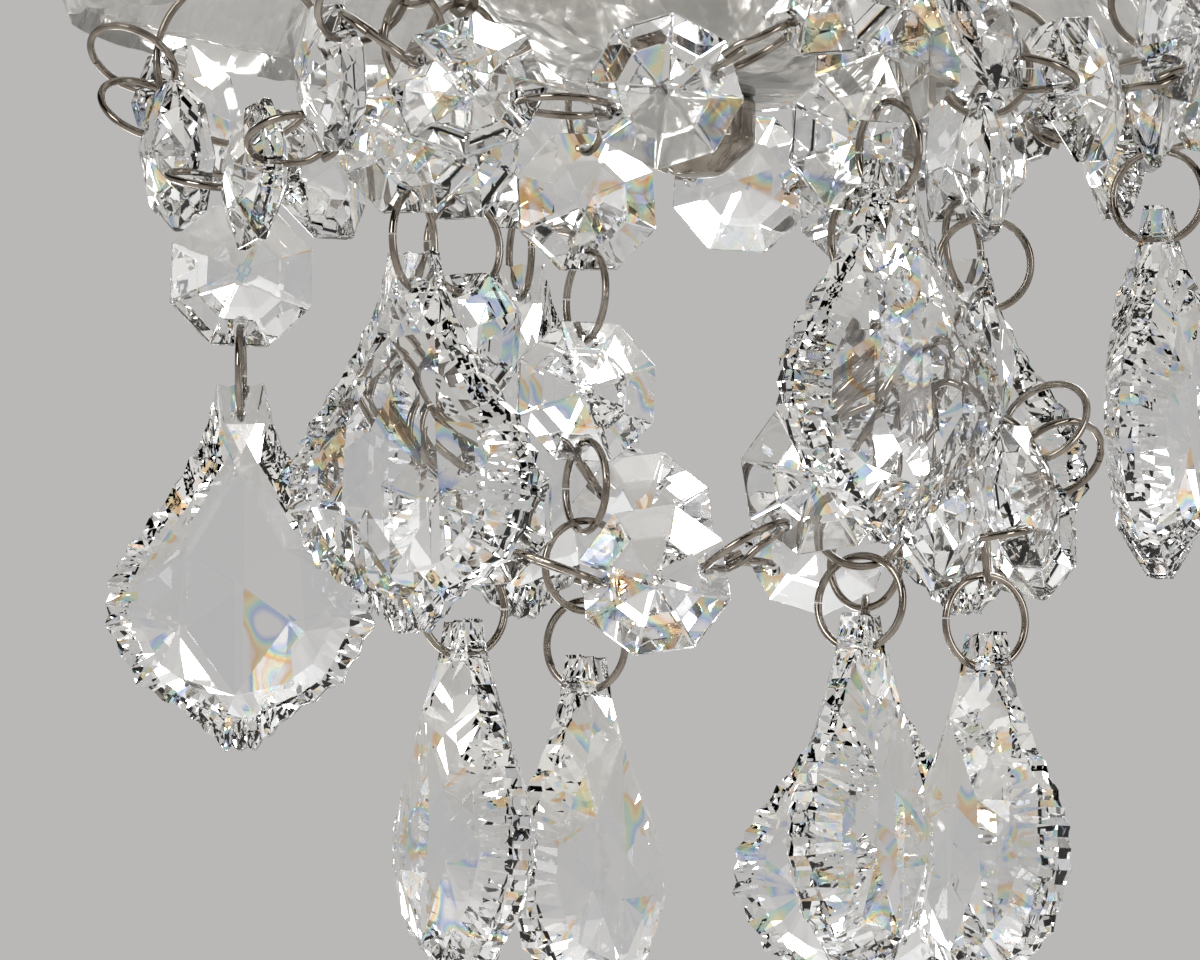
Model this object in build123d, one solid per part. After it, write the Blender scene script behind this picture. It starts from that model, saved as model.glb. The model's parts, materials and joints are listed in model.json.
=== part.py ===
from build123d import *
from math import atan2, cos, degrees, pi, radians, sin, sqrt
import os

# Small crystal chandelier: ceiling rose, chain, turned glass column with three candle arms,
# and a six-lobed pressed-glass dish that carries drops, long chains and swags of cut crystal.
# The origin is the centre of the rose's ceiling face, +Z is up, lengths are in millimetres.

# Jump rings and two-hole octagon beads
WIRE = 0.8                # round wire, built square with the same section area
RING_DIA = 9.5            # mean diameter of a small jump ring
LARGE_RING_DIA = 18.0     # mean diameter of the large ring on the left strand
RING_SIDES = 8
LARGE_RING_SIDES = 12
WIRE_GAP = 0.32           # between two linked wires
HOOK_GAPS = (0.84, 0.62)   # between a swag's first and last ring and the rings that they link
BEAD_WIDTH = 14.6         # across flats
BEAD_PITCH = 10.6         # between its two holes
BEAD_THICK = 6.6
BEAD_TABLE = 7.6          # across flats of the ring of eight centre facets
BEAD_TABLE_THICK = 4.4
BEAD_HOLE = 1.7

# Pendalogues: half outline from the top, as (half width, distance below the top)
DROP_HEIGHT = 38.0
DROP_WIDTH = 28.0
DROP_THICK = 10.0
DROP_EDGE = 2.4           # thickness of the notched side band
DROP_HOLE = 1.7
DROP_HOLE_BELOW_TOP = 3.6
DROP_OUTLINE = [(0.17, 0.0), (0.26, 0.13), (0.49, 0.28), (0.83, 0.44), (0.98, 0.54),
                (1.0, 0.66), (0.76, 0.82), (0.37, 0.91), (0.11, 1.0)]

# Strands round the dish
STRANDS = 6
STRAND_TURN = 23.0        # azimuth of strand 3 from the front, towards +X
STRAND_RADIUS = 47.5
LONG_CHAIN_RADIUS = 29.5
LONG_CHAIN_TURN = {2: -17.0, 3: 10.0, 4: 3.0, 5: 0.0, 6: 0.0}
LONG_CHAIN_RING_TURN = {2: 130.0, 3: 70.0, 4: 90.0, 5: 90.0, 6: 90.0}
LONG_CHAIN_DROP = 6.5     # how much lower their pins are
LONG_CHAIN_BEADS = 2
LARGE_RING_STRAND = 1
DOUBLE_RING_STRAND = 2
LONG_STRANDS = [2, 3, 4, 5, 6]
UPPER_DROP_TURN = {1: 92.0, 2: 8.0, 3: 17.0, 4: -9.0, 5: 12.0, 6: -12.0}
LOWER_DROP_TURN = {2: -10.0, 3: 29.0, 4: 36.0, 5: 30.0, 6: 34.0}
SWAG_TWIST = -8.0         # turn of every other swag bead about its length
UPPER_SWAG_BEADS = 3
LOWER_SWAG_BEADS = {2: 3, 3: 2, 4: 2, 5: 2}
RING_HOOKS = (77.0, 134.0)   # where two hook rings link one ring, round from its bottom
LOWER_RING_HOOKS = (91.5, 139.0)
DOUBLE_RING_HOOKS = (79.0, 134.0)
LARGE_RING_HOOKS = (55.0, 93.0)

# Pressed-glass dish: underside as (radius, height over the pins' rings), from bore to rim
DISH_LOBES = 6
DISH_STEPS = 4            # facets round one lobe
DISH_UNDERSIDE = [(12.0, -14.0), (22.0, -9.5), (35.0, 3.0), (47.5, 7.0), (59.5, 4.0), (65.5, -5.0)]
DISH_CENTRE_LEVEL = -14.0
DISH_WAIST = 8.0          # how far the rim draws in between two lobes
DISH_VALLEY = 2.0         # how far the glass dips between two lobes
DISH_GLASS = 3.0
PIN_SHAFT = 1.4
PIN_HEAD = 3.6
PIN_HEAD_THICK = 0.9
PIN_EYE = 3.4             # mean diameter of the eye
PIN_HEAD_RISE = 0.4
PIN_HOLE = 2.2

# Column, from the ceiling down
BORE = 8.8                # across corners, in every column piece
ROD_DIA = 8.0
TURNING_SIDES = 12
ROSE_DIA = 84.0
ROSE_HEIGHT = 24.0
ROSE_WALL = 1.4
STRAP_LENGTH = 70.0
STRAP_WIDTH = 16.0
STRAP_THICK = 2.0
STRAP_HOLE_PITCH = 56.0
STRAP_HOLE = 4.6
NUT_DIA = 14.0
NUT_HEIGHT = 5.0
BLOCK_SIZE = (16.0, 10.0, 8.0)
BLOCK_OFFSET = 19.0
EYE_WIRE = 3.0
EYE_DIA = 14.0
EYE_COLLAR_DIA = 13.0
EYE_COLLAR_HEIGHT = 4.0
LINK_LENGTH = 24.0        # mean length of a chain link
LINK_WIDTH = 12.0
LINK_COUNT = 3
LINK_GAP = 0.4
LOOP_STEM = 9.0
CAP_DIA = 26.0
CAP_HEIGHT = 8.0
UPPER_GLASS_HEIGHT = 46.0
UPPER_GLASS_DIA = 44.0
HUB_DIA = 36.0
HUB_HEIGHT = 20.0
LOWER_GLASS_HEIGHT = 36.0
LOWER_GLASS_DIA = 30.0
CAP_NUT_DIA = 12.0
CAP_NUT_HEIGHT = 8.0

# Arms and candles
ARMS = 3
ARM_TURN = 0.0            # azimuth of the first arm from the front
ARM_DIA = 9.0
ARM_SIDES = 8
ARM_STEPS = 10
ARM_CLEARANCE = 0.15      # round an arm's root in its socket
ARM_SOCKET_DEPTH = 6.0
ARM_REACH = 108.0
ARM_SAG = 38.0            # depth of the arm curve's guide points under the hub
ARM_RISE = 12.0
ARM_DISH_DIA = 52.0
ARM_DISH_HEIGHT = 9.0
ARM_DISH_GLASS = 2.6
CANDLE_DIA = 22.0
CANDLE_HEIGHT = 54.0
CANDLE_WALL = 1.2
HOLDER_DIA = 16.0
HOLDER_HEIGHT = 44.0
BULB_DIA = 20.0
BULB_HEIGHT = 46.0


def azimuth(strand):
    """Azimuth of a strand in degrees; the front is 0 and +X is 90."""
    return STRAND_TURN + 360.0 / STRANDS * (strand - 3)


def radial(turn):
    return Vector(sin(radians(turn)), -cos(radians(turn)), 0)


def place(shape, point, down, normal):
    """Move a shape made with -Z along a strand and +Y as its face normal."""
    up = Vector(*down) * -1
    side = Vector(*normal).cross(up).normalized()
    return Plane(origin=point, x_dir=side, z_dir=up).location * shape


def solid_from(faces):
    return Solid(Shell(faces))


def polygon_face(points):
    return Face(Wire.make_polygon(points, close=True))


def square_pin(width, length, at):
    """Cutter for a wire hole that runs along Y."""
    return Pos(*at) * Box(width, length, width)


def make_ring(mean_dia, wire=WIRE, sides=RING_SIDES):
    """Loop of wire in the YZ plane, flats at its top and bottom."""
    half = wire * sqrt(pi) / 4
    outer = (mean_dia / 2 + half) / cos(pi / sides)
    inner = (mean_dia / 2 - half) / cos(pi / sides)
    turn = 180.0 / sides
    face = RegularPolygon(outer, sides, rotation=turn) - RegularPolygon(inner, sides, rotation=turn)
    return (Plane.YZ * extrude(face, half, both=True)).solid()


def make_bead():
    """Octagon bead: eight centre facets and eight bevels on each face, two holes."""
    def octagon(across, y):
        radius = across / 2 / cos(pi / 8)
        return [Vector(radius * sin(pi / 4 * (i + 0.5)), y, radius * cos(pi / 4 * (i + 0.5)))
                for i in range(8)]

    girdle = octagon(BEAD_WIDTH, 0)
    faces = []
    for side in (1, -1):
        table = octagon(BEAD_TABLE, side * BEAD_TABLE_THICK / 2)
        apex = Vector(0, side * BEAD_THICK / 2, 0)
        for i in range(8):
            j = (i + 1) % 8
            faces.append(polygon_face([table[i], table[j], apex]))
            faces.append(polygon_face([girdle[i], girdle[j], table[j], table[i]]))
    bead = solid_from(faces)
    for end in (1, -1):
        bead = bead - square_pin(BEAD_HOLE, BEAD_THICK * 2, (0, 0, end * BEAD_PITCH / 2))
    return bead.solid()


def make_drop():
    """Pendalogue, its hole at the origin: a long centre kite among shoulder and foot facets."""
    half_width = DROP_WIDTH / 2
    top = DROP_HOLE_BELOW_TOP
    edge = DROP_EDGE / 2
    rise = DROP_THICK / 2

    def at(x, share, y):
        return Vector(x, y, top - share * DROP_HEIGHT)

    def outline(sign, y):
        return [at(sign * x * half_width, share, y) for x, share in DROP_OUTLINE]

    kite_top, kite_foot, kite_side = 0.20, 0.67, 0.38
    kite_slope = (rise - 0.54 * rise) / (kite_foot - kite_top)
    faces = []
    for front in (1, -1):
        neck = at(0, kite_top, front * 0.54 * rise)
        heart = at(0, kite_foot, front * rise)
        foot = at(0, 0.84, front * 0.62 * rise)
        for sign in (1, -1):
            rim = outline(sign, front * edge)
            side_rise = 0.54 * rise + kite_slope * (kite_side - kite_top)
            shoulder = at(sign * 0.31 * half_width, kite_side, front * side_rise)
            flank = at(sign * 0.66 * half_width, 0.58, front * 0.68 * rise)
            fan = [neck, neck, neck, shoulder, flank, flank, flank, foot, foot]
            for i in range(8):
                inner = fan[i] if i not in (2, 3, 6) else fan[i + 1]
                faces.append(polygon_face([rim[i], rim[i + 1], inner]))
            for i, first, second in ((2, neck, shoulder), (3, shoulder, flank), (6, flank, foot)):
                faces.append(polygon_face([rim[i], first, second]))
            faces.append(polygon_face([neck, shoulder, heart]))
            faces.append(polygon_face([shoulder, flank, heart]))
            faces.append(polygon_face([flank, foot, heart]))
        right, left = outline(1, front * edge), outline(-1, front * edge)
        faces.append(polygon_face([right[0], left[0], neck]))
        faces.append(polygon_face([right[-1], left[-1], foot]))
    for sign in (1, -1):
        front_rim, back_rim = outline(sign, edge), outline(sign, -edge)
        for i in range(len(front_rim) - 1):
            faces.append(polygon_face([front_rim[i], front_rim[i + 1], back_rim[i + 1], back_rim[i]]))
    for i in (0, -1):
        ends = [outline(1, edge)[i], outline(-1, edge)[i], outline(-1, -edge)[i], outline(1, -edge)[i]]
        faces.append(polygon_face(ends))
    drop = solid_from(faces)
    return (drop - square_pin(DROP_HOLE, DROP_THICK * 2, (0, 0, 0))).solid()


small_ring = make_ring(RING_DIA)
large_ring = make_ring(LARGE_RING_DIA, sides=LARGE_RING_SIDES)
bead = make_bead()
crystal_drop = make_drop()
LINKED = WIRE + WIRE_GAP   # distance between the centres of two linked wires


class Strand:
    """Pieces hung one below the other from a point, along a direction."""

    def __init__(self, point, turn):
        self.point = Vector(*point)
        self.down = Vector(0, 0, -1)
        self.normal = radial(turn)
        self.rings = []
        self.beads = []

    def face(self, turn):
        """Turn the pieces that follow to another azimuth."""
        self.normal = radial(turn)

    def ring(self, mean_dia=RING_DIA):
        shape = small_ring if mean_dia == RING_DIA else large_ring
        centre = self.point + self.down * (mean_dia / 2)
        self.rings.append(place(shape, centre, self.down, self.normal))
        self.point = self.point + self.down * mean_dia
        return centre

    def back_into_ring(self):
        self.point = self.point - self.down * LINKED

    def bead(self):
        centre = self.point + self.down * (BEAD_PITCH / 2)
        self.beads.append(place(bead, centre, self.down, self.normal))
        self.point = self.point + self.down * BEAD_PITCH


def save(shape, name):
    export_step(shape, f"parts/{name}.step")


def save_group(shapes, name):
    save(Compound(children=list(shapes)), name)


# Strands: an outer drop at every lobe, and a long chain behind it at five of them
pins = []
strand_rings = []
strand_beads = []
hook_rings = []
upper_hooks = {}
lower_hooks = {}


eye_centre = -ROSE_HEIGHT - EYE_COLLAR_HEIGHT - EYE_DIA / 2
chain_pitch = LINK_LENGTH - EYE_WIRE - LINK_GAP
first_link_top = eye_centre - EYE_DIA / 2 + EYE_WIRE + LINK_GAP
last_link_bottom = first_link_top - (LINK_COUNT - 1) * chain_pitch - LINK_LENGTH
loop_centre = last_link_bottom + EYE_WIRE + LINK_GAP - EYE_DIA / 2
cap_top = loop_centre - EYE_DIA / 2 - LOOP_STEM
upper_glass_top = cap_top - CAP_HEIGHT
hub_top = upper_glass_top - UPPER_GLASS_HEIGHT
lower_glass_top = hub_top - HUB_HEIGHT
dish_centre_top = lower_glass_top - LOWER_GLASS_HEIGHT
rim_z = dish_centre_top - DISH_GLASS - DISH_CENTRE_LEVEL


def dish_underside(radius):
    """Height of the dish's underside in the middle of a lobe."""
    stations = DISH_UNDERSIDE
    for (r0, z0), (r1, z1) in zip(stations, stations[1:]):
        if r0 <= radius <= r1:
            return rim_z + z0 + (z1 - z0) * (radius - r0) / (r1 - r0)
    raise ValueError("radius outside the dish")


def make_pin(point, turn):
    """Headed pin through the dish with an eye below it that holds a ring at point."""
    eye_middle = point + Vector(0, 0, PIN_EYE / 2 - LINKED)
    eye = place(make_ring(PIN_EYE, sides=6), eye_middle, (0, 0, -1), radial(turn + 90))
    reach = sqrt(point.X ** 2 + point.Y ** 2)
    shaft_foot = eye_middle.Z + PIN_EYE / 2
    shaft_face = Pos(point.X, point.Y, shaft_foot) * RegularPolygon(PIN_SHAFT / 2, 6)
    head_foot = max(dish_underside(reach - PIN_HEAD / 2), dish_underside(reach + PIN_HEAD / 2))
    head_foot += DISH_GLASS + PIN_HEAD_RISE
    head_face = Pos(point.X, point.Y, head_foot) * RegularPolygon(PIN_HEAD / 2, 6)
    pin = eye + extrude(shaft_face, head_foot - shaft_foot + PIN_HEAD_THICK / 2)
    pins.append((pin + extrude(head_face, PIN_HEAD_THICK)).solid())


def hang_outer_drop(strand):
    """Ring, bead, ring and pendalogue; one strand starts with a large ring, one with an extra ring."""
    turn = azimuth(strand)
    last_turn = turn + UPPER_DROP_TURN[strand]
    drop = Strand(radial(turn) * STRAND_RADIUS + Vector(0, 0, rim_z), turn)
    if strand == LARGE_RING_STRAND:
        make_pin(drop.point, turn)
        upper_hooks[strand] = (drop.ring(LARGE_RING_DIA), LARGE_RING_DIA, turn, LARGE_RING_HOOKS)
        drop.back_into_ring()
        drop.face(last_turn)
        drop.ring()
    elif strand == DOUBLE_RING_STRAND:
        make_pin(drop.point, turn + 90)
        drop.face(turn + 90)
        drop.ring()
        drop.back_into_ring()
        drop.face(turn)
        upper_hooks[strand] = (drop.ring(), RING_DIA, turn, DOUBLE_RING_HOOKS)
    else:
        make_pin(drop.point, turn)
        upper_hooks[strand] = (drop.ring(), RING_DIA, turn, RING_HOOKS)
    drop.bead()
    drop.face(last_turn)
    drop.ring()
    save(place(crystal_drop, drop.point, drop.down, drop.normal), f"upper_pendalogue_{strand}")
    print(f"upper pendalogue {strand}: hole {tuple(drop.point)}, normal {tuple(drop.normal)}")
    return drop


def hang_long_chain(strand):
    """Rings and beads down to a ring that holds the lower swags, two more rings and a pendalogue."""
    turn = azimuth(strand) + LONG_CHAIN_TURN[strand]
    chain = Strand(radial(turn) * LONG_CHAIN_RADIUS + Vector(0, 0, rim_z - LONG_CHAIN_DROP), turn)
    make_pin(chain.point, turn)
    for _ in range(LONG_CHAIN_BEADS):
        chain.ring()
        chain.bead()
    lower_hooks[strand] = (chain.ring(), RING_DIA, turn, LOWER_RING_HOOKS)
    for next_turn in (turn + LONG_CHAIN_RING_TURN[strand], turn + LOWER_DROP_TURN[strand]):
        chain.back_into_ring()
        chain.face(next_turn)
        chain.ring()
    save(place(crystal_drop, chain.point, chain.down, chain.normal), f"lower_pendalogue_{strand}")
    print(f"lower pendalogue {strand}: hole {tuple(chain.point)}, normal {tuple(chain.normal)}")
    return chain


def hanging_angles(lengths, span, drop):
    """Angles below the level of a hanging row of links between two points."""
    def reach(pull, start):
        slopes = [(start - i) / pull for i in range(len(lengths))]
        run = sum(length / sqrt(1 + slope ** 2) for length, slope in zip(lengths, slopes))
        fall = sum(length * slope / sqrt(1 + slope ** 2) for length, slope in zip(lengths, slopes))
        return run, fall, slopes

    low_pull, high_pull = 0.01, 50.0
    for _ in range(60):
        pull = (low_pull + high_pull) / 2
        low, high = -40.0, 40.0
        for _ in range(60):
            start = (low + high) / 2
            if reach(pull, start)[1] > drop:
                high = start
            else:
                low = start
        if reach(pull, start)[0] > span:
            high_pull = pull
        else:
            low_pull = pull
    return reach(pull, start)[2]


def wire_radius(mean_dia, lean):
    """Radius of a ring's wire at an angle from the middle of one of its flats."""
    step = 360.0 / (RING_SIDES if mean_dia == RING_DIA else LARGE_RING_SIDES)
    return mean_dia / 2 / cos(radians((lean + step / 2) % step - step / 2))


def hook_wire(hook, outward, end):
    """Point on a ring's wire where a swag's start (0) or end (1) hooks, and the way out from the ring."""
    centre, mean_dia, turn, places = hook
    side = radial(turn) if radial(turn).dot(outward) >= 0 else -radial(turn)
    lean = places[end]
    way_out = side * sin(radians(lean)) - Vector(0, 0, cos(radians(lean)))
    return centre + way_out * wire_radius(mean_dia, lean), way_out


def hook_centre(wire, way_out, pull, outward, gap):
    """Centre of a hook ring that lies in the plane of its pull and of outward."""
    lean = degrees(atan2(way_out.dot(outward), max(way_out.dot(pull), 0)))
    inside = wire_radius(RING_DIA, lean) - WIRE - gap
    return wire + (pull * cos(radians(lean)) + outward * sin(radians(lean))) * inside


def hang_swag(name, left_hook, right_hook, bead_count):
    """Row of rings and beads from the ring of one strand to the ring of the next."""
    chord = right_hook[0] - left_hook[0]
    outward = Vector(chord.X, chord.Y, 0).normalized().cross(Vector(0, 0, 1))
    left_wire, left_way = hook_wire(left_hook, outward, 0)
    right_wire, right_way = hook_wire(right_hook, outward, 1)
    lengths = [RING_DIA] + [BEAD_PITCH, RING_DIA] * bead_count
    start, end = left_wire, right_wire
    for _ in range(8):
        chord = end - start
        along = Vector(chord.X, chord.Y, 0).normalized()
        outward = along.cross(Vector(0, 0, 1))
        span = sqrt(chord.X ** 2 + chord.Y ** 2)
        slopes = hanging_angles(lengths, span, -chord.Z)
        directions = [(along - Vector(0, 0, slope)).normalized() for slope in slopes]
        first, last = directions[0], directions[-1]
        first_centre = hook_centre(left_wire, left_way, first, outward, HOOK_GAPS[0])
        last_centre = hook_centre(right_wire, right_way, -last, outward, HOOK_GAPS[1])
        start = first_centre - first * (RING_DIA / 2)
        end = last_centre + last * (RING_DIA / 2)
    rings, beads = [], []
    point = start
    for i, (length, direction) in enumerate(zip(lengths, directions)):
        middle = point + direction * (length / 2)
        if i % 2 == 0:
            rings.append(place(small_ring, middle, direction, outward))
        else:
            twist = SWAG_TWIST if i % 4 == 1 else -SWAG_TWIST
            face = outward.rotate(Axis((0, 0, 0), direction), twist)
            beads.append(place(bead, middle, direction, face))
        point = point + direction * length
    hook_rings.extend([rings[0], rings[-1]])
    save_group(rings[1:-1], f"{name}_rings")
    save_group(beads, f"{name}_octagons")
    first_hole, last_hole = start + first * RING_DIA, end - last * RING_DIA
    print(f"{name}: holes {tuple(first_hole)} {tuple(last_hole)}")


for strand in range(1, STRANDS + 1):
    drop = hang_outer_drop(strand)
    strand_rings += drop.rings
    strand_beads += drop.beads
for strand in LONG_STRANDS:
    chain = hang_long_chain(strand)
    strand_rings += chain.rings
    strand_beads += chain.beads
save_group(strand_rings, "strand_rings")
save_group(strand_beads, "strand_octagons")
save_group(pins, "dish_pins")
for strand in range(1, STRANDS + 1):
    neighbour = strand % STRANDS + 1
    hang_swag(f"upper_swag_{strand}", upper_hooks[strand], upper_hooks[neighbour], UPPER_SWAG_BEADS)
for strand in LONG_STRANDS[:-1]:
    hang_swag(f"lower_swag_{strand}", lower_hooks[strand], lower_hooks[strand + 1],
              LOWER_SWAG_BEADS[strand])
save_group(hook_rings, "hook_rings")


# Pieces turned about the axis
def turned(profile, sides=TURNING_SIDES):
    """Facet-turned piece from a closed profile of (radius, height) points."""
    def ring_point(radius, z, i):
        turn = 2 * pi * i / sides
        return Vector(radius * sin(turn), -radius * cos(turn), z)

    faces = []
    for (r0, z0), (r1, z1) in zip(profile, profile[1:] + profile[:1]):
        for i in range(sides):
            corners = [ring_point(r0, z0, i)]
            if r0 > 0:
                corners.append(ring_point(r0, z0, i + 1))
            if r1 > 0:
                corners.append(ring_point(r1, z1, i + 1))
            corners.append(ring_point(r1, z1, i))
            if r0 > 0 or r1 > 0:
                faces.append(polygon_face(corners))
    return solid_from(faces)


def bored(outline):
    """Turned piece on the rod: outline from its top to its foot, with the rod's bore."""
    return turned(outline + [(BORE / 2, outline[-1][1]), (BORE / 2, outline[0][1])])


def make_rose():
    outer = [(ROSE_DIA / 2, 0), (ROSE_DIA / 2, -3), (0.43 * ROSE_DIA, -0.35 * ROSE_HEIGHT),
             (0.27 * ROSE_DIA, -0.75 * ROSE_HEIGHT), (0.12 * ROSE_DIA, -ROSE_HEIGHT)]
    inner = [(r - ROSE_WALL, z + ROSE_WALL) for r, z in outer[2:]]
    inner = [(BORE / 2, -ROSE_HEIGHT), (BORE / 2, inner[-1][1])] + inner[::-1]
    return turned(outer + inner + [(ROSE_DIA / 2 - ROSE_WALL, -3), (ROSE_DIA / 2 - ROSE_WALL, 0)])


def make_strap():
    strap = Pos(0, 0, -STRAP_THICK / 2) * Box(STRAP_LENGTH, STRAP_WIDTH, STRAP_THICK)
    for x in (-STRAP_HOLE_PITCH / 2, STRAP_HOLE_PITCH / 2):
        strap -= Pos(x, 0, -STRAP_THICK / 2) * Cylinder(STRAP_HOLE / 2, STRAP_THICK * 2)
    stem_hole = extrude(Pos(0, 0, -STRAP_THICK * 1.5) * RegularPolygon(BORE / 2, TURNING_SIDES), STRAP_THICK * 2)
    return (strap - stem_hole).solid()


def rod(top, foot):
    """Threaded rod, plain to its outside diameter."""
    return turned([(0, top), (ROD_DIA / 2, top), (ROD_DIA / 2, foot), (0, foot)])


def eye_loop(centre_z):
    return Pos(0, 0, centre_z) * make_ring(EYE_DIA, EYE_WIRE)


def make_hanging_eye():
    collar_foot = -ROSE_HEIGHT - EYE_COLLAR_HEIGHT
    collar = turned([(0, -ROSE_HEIGHT), (EYE_COLLAR_DIA / 2, -ROSE_HEIGHT),
                     (0.42 * EYE_COLLAR_DIA, collar_foot), (0, collar_foot)])
    return (rod(0, -ROSE_HEIGHT - 0.5) + collar + eye_loop(eye_centre)).solid()


def make_column_loop():
    stem_top = loop_centre - EYE_DIA / 2
    stem = turned([(0, stem_top), (0.36 * EYE_COLLAR_DIA, stem_top), (EYE_COLLAR_DIA / 2, cap_top), (0, cap_top)])
    return (stem + eye_loop(loop_centre)).solid()


def link_outline(offset):
    """Half octagons at the two ends of a link, offset from its mean line."""
    radius = (LINK_WIDTH / 2 + offset) / cos(pi / 8)
    straight = (LINK_LENGTH - LINK_WIDTH) / 2
    points = []
    for i in range(8):
        turn = pi / 8 + i * pi / 4
        shift = straight if i < 4 else -straight
        points.append((radius * cos(turn), radius * sin(turn) + shift))
    return make_face(Polyline(*points, close=True))


def make_link(index):
    middle = first_link_top - LINK_LENGTH / 2 - index * chain_pitch
    face = link_outline(EYE_WIRE / 2) - link_outline(-EYE_WIRE / 2)
    link = Plane.XZ * extrude(face, EYE_WIRE / 2, both=True)
    return (Pos(0, 0, middle) * Rot(0, 0, 90 * (index % 2)) * link).solid()


def stepped(top, height, shares):
    """Outline from a top level down: (radius, share of the height below the top)."""
    return [(radius, top - share * height) for radius, share in shares]


def make_dish():
    """Six-lobed dish: rings of points follow the underside, the glass is as thick all over."""
    steps = DISH_LOBES * DISH_STEPS
    lobe_turn = 360.0 / DISH_LOBES
    stations = [(BORE / 2, DISH_CENTRE_LEVEL)] + DISH_UNDERSIDE
    rim_radius, plain_radius = DISH_UNDERSIDE[-1][0], DISH_UNDERSIDE[0][0]

    def ring(radius, height, lift):
        points = []
        share = (max(radius - plain_radius, 0) / (rim_radius - plain_radius)) ** 2
        for i in range(steps):
            turn = i * 360.0 / steps
            lobe = abs(cos(radians(180.0 / lobe_turn * turn)))
            r = radius - DISH_WAIST * share * (1 - lobe)
            z = rim_z + height + lift - DISH_VALLEY * share * (1 - lobe)
            points.append(radial(turn + STRAND_TURN) * r + Vector(0, 0, z))
        return points

    under = [ring(r, z, 0) for r, z in stations]
    upper = [ring(r, z, DISH_GLASS) for r, z in stations]
    skins = under + upper[::-1]
    faces = []
    for first, second in zip(skins, skins[1:] + skins[:1]):
        for i in range(steps):
            j = (i + 1) % steps
            faces.append(polygon_face([first[i], first[j], second[j]]))
            faces.append(polygon_face([first[i], second[j], second[i]]))
    dish = solid_from(faces)
    for strand in range(1, STRANDS + 1):
        places = [radial(azimuth(strand)) * STRAND_RADIUS]
        if strand in LONG_STRANDS:
            places.append(radial(azimuth(strand) + LONG_CHAIN_TURN[strand]) * LONG_CHAIN_RADIUS)
        for spot in places:
            dish -= Pos(spot.X, spot.Y, rim_z) * Box(PIN_HOLE, PIN_HOLE, 40)
    return dish.solid()


def arm_point(t, hub_z):
    """Point and tangent of the arm's centre line, in its own radial plane."""
    root = HUB_DIA / 2 - ARM_SOCKET_DEPTH
    guides = [(root, 0), (0.55 * ARM_REACH, -ARM_SAG), (ARM_REACH, -ARM_SAG), (ARM_REACH, ARM_RISE)]
    blend = [(1 - t) ** 3, 3 * t * (1 - t) ** 2, 3 * t ** 2 * (1 - t), t ** 3]
    slope = [-3 * (1 - t) ** 2, 3 * (1 - t) * (1 - 3 * t), 3 * t * (2 - 3 * t), 3 * t ** 2]
    spot = [sum(b * g[axis] for b, g in zip(blend, guides)) for axis in (0, 1)]
    run = [sum(s * g[axis] for s, g in zip(slope, guides)) for axis in (0, 1)]
    size = sqrt(run[0] ** 2 + run[1] ** 2)
    return spot[0], hub_z + spot[1], run[0] / size, run[1] / size


def make_arm(index, grow=0.0):
    hub_z = hub_top - HUB_HEIGHT / 2
    out = radial(ARM_TURN + 360.0 / ARMS * index)
    side = out.cross(Vector(0, 0, 1))
    radius = (ARM_DIA / 2 + grow) / cos(pi / ARM_SIDES)
    sections = []
    for step in range(ARM_STEPS + 1):
        r, z, run_r, run_z = arm_point(step / ARM_STEPS, hub_z)
        across = out * -run_z + Vector(0, 0, run_r)
        middle = out * r + Vector(0, 0, z)
        corners = []
        for i in range(ARM_SIDES):
            turn = 2 * pi * (i + 0.5) / ARM_SIDES
            corners.append(middle + side * (radius * cos(turn)) + across * (radius * sin(turn)))
        sections.append(corners)
    faces = [polygon_face(sections[0]), polygon_face(sections[-1])]
    for first, second in zip(sections, sections[1:]):
        for i in range(ARM_SIDES):
            j = (i + 1) % ARM_SIDES
            faces.append(polygon_face([first[i], first[j], second[j]]))
            faces.append(polygon_face([first[i], second[j], second[i]]))
    return solid_from(faces)


def at_arm_ends(shape):
    spots = [radial(ARM_TURN + 360.0 / ARMS * i) * ARM_REACH for i in range(ARMS)]
    return [Pos(spot.X, spot.Y, arm_end) * shape for spot in spots]


arm_end = hub_top - HUB_HEIGHT / 2 + ARM_RISE
save(make_rose(), "ceiling_rose")
save(make_strap(), "mounting_strap")
nut_face = RegularPolygon(NUT_DIA / 2, 6) - RegularPolygon(BORE / 2, TURNING_SIDES)
nut = extrude(Pos(0, 0, -STRAP_THICK - NUT_HEIGHT) * nut_face, NUT_HEIGHT).solid()
save(nut, "stem_nut")
block = Box(*BLOCK_SIZE)
save(Pos(BLOCK_OFFSET, 0, -STRAP_THICK - BLOCK_SIZE[2] / 2) * block, "terminal_block")
save(make_hanging_eye(), "hanging_eye")
save_group([make_link(i) for i in range(LINK_COUNT)], "chain_links")
save(make_column_loop(), "column_loop")
save(rod(cap_top, dish_centre_top - DISH_GLASS - CAP_NUT_HEIGHT / 2), "column_rod")
save(bored(stepped(cap_top, CAP_HEIGHT, [(0.3 * CAP_DIA, 0), (0.5 * CAP_DIA, 0.7), (0.5 * CAP_DIA, 1)])), "top_cap")
upper_shares = [(0.22, 0), (0.3, 0.08), (0.2, 0.16), (0.42, 0.36), (0.5, 0.55), (0.36, 0.8), (0.24, 1)]
save(bored(stepped(upper_glass_top, UPPER_GLASS_HEIGHT, [(r * UPPER_GLASS_DIA, s) for r, s in upper_shares])),
     "upper_baluster")
hub = bored(stepped(hub_top, HUB_HEIGHT, [(0.3 * HUB_DIA, 0), (0.5 * HUB_DIA, 0.15), (0.5 * HUB_DIA, 0.85),
                                          (0.3 * HUB_DIA, 1)]))
for index in range(ARMS):
    hub -= make_arm(index, grow=ARM_CLEARANCE)
save(hub.solid(), "arm_hub")
lower_shares = [(0.34, 0), (0.24, 0.12), (0.42, 0.34), (0.5, 0.55), (0.4, 0.8), (0.3, 1)]
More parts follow.
